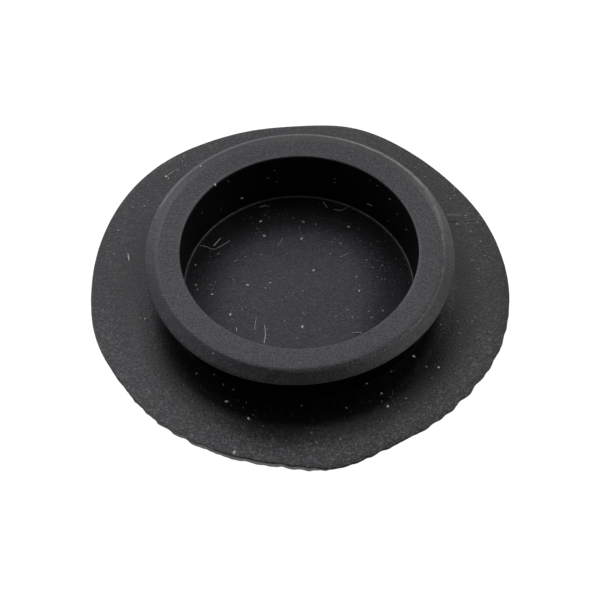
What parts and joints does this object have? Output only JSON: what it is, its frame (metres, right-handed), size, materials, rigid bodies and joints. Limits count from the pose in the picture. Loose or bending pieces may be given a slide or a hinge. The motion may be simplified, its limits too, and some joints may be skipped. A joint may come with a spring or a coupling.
{
  "type": "rubber plug",
  "caption": "Round black rubber blanking plug with a thin dished flange, a short neck, a bevelled push-in lip and a blind round recess.",
  "frame": {"origin": "middle of the flat outer face, which the plug rests on", "axes": "+Z along the plug's axis, out of the recess's mouth; +X and +Y are free, because the plug is round but for its trimmed edge"},
  "size_m": [0.0301, 0.0301, 0.0055],
  "materials": {
    "rubber": "matt moulded black rubber with light dust"
  },
  "bodies": {
    "root": {"plug": "rubber"}
  },
  "joints": []
}
